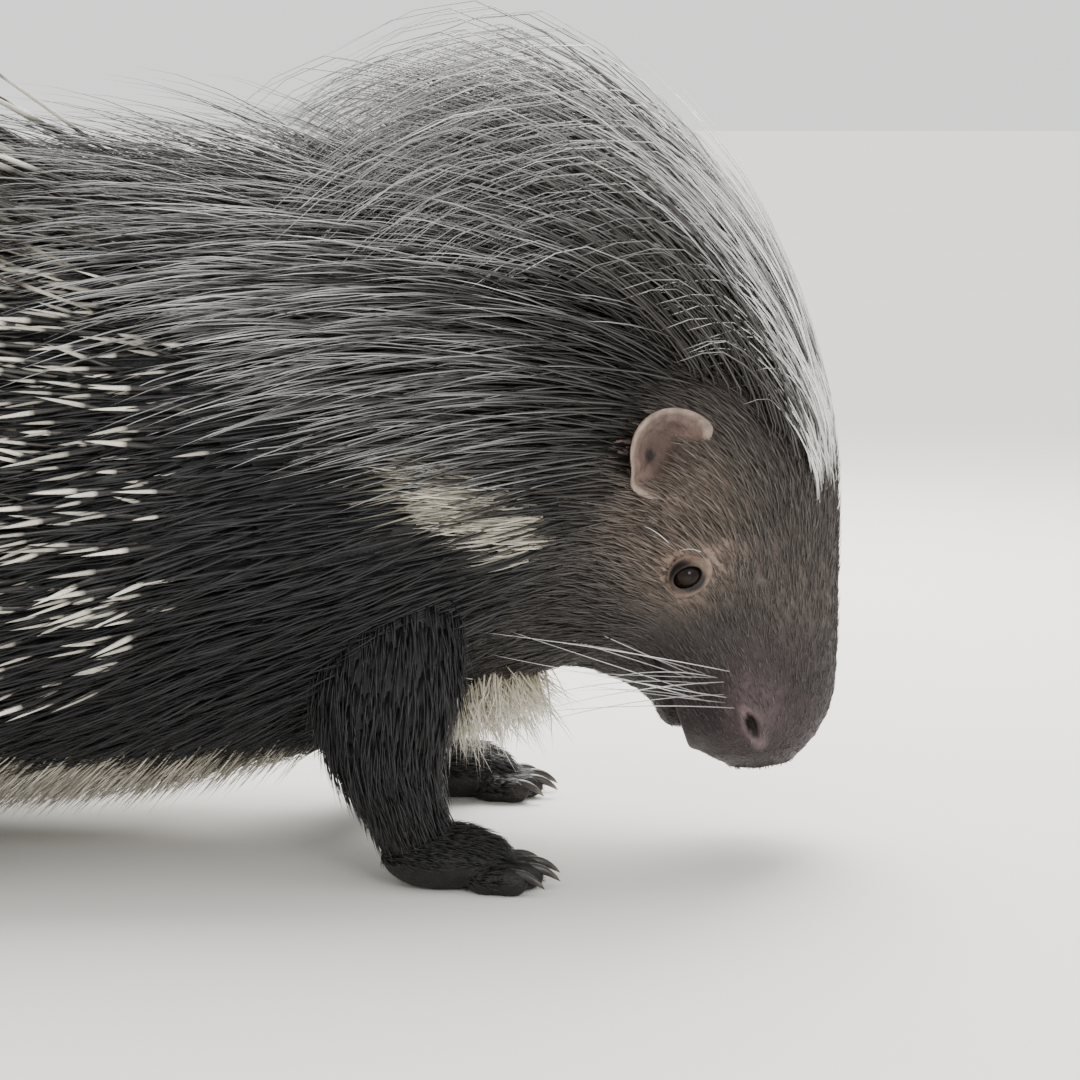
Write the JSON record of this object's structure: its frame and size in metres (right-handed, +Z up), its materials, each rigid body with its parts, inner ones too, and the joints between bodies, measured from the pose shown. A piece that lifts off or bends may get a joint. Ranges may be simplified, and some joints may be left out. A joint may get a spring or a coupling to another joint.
{
  "type": "crested porcupine figure",
  "caption": "Life-size crested porcupine standing with its head bowed to the ground, with a bristle crest and a back of long banded quills.",
  "frame": {"origin": "on the floor, below the middle of the box around the whole animal with its quills", "axes": "+X towards the head, +Y to the animal's left, +Z up"},
  "size_m": [0.7684, 0.4384, 0.3951],
  "materials": {
    "short_coat": "short coarse brown-grey hair over brown skin",
    "bristle_coat": "flat glossy black bristles",
    "quills": "smooth keratin with dark and white bands",
    "bare_skin": "bare pinkish-brown skin",
    "eye": "wet dark brown"
  },
  "bodies": {
    "root": {"head": "short_coat", "lower_jaw": "short_coat", "neck": "bristle_coat", "torso": "bristle_coat", "tail": "quills", "foreleg_left": "bristle_coat", "forefoot_left": "bristle_coat", "hindleg_left": "bristle_coat", "hindfoot_left": "bristle_coat", "ear_left": "bare_skin", "eye_left": "eye", "foreleg_right": "bristle_coat", "forefoot_right": "bristle_coat", "hindleg_right": "bristle_coat", "hindfoot_right": "bristle_coat", "ear_right": "bare_skin", "eye_right": "eye"}
  },
  "joints": []
}
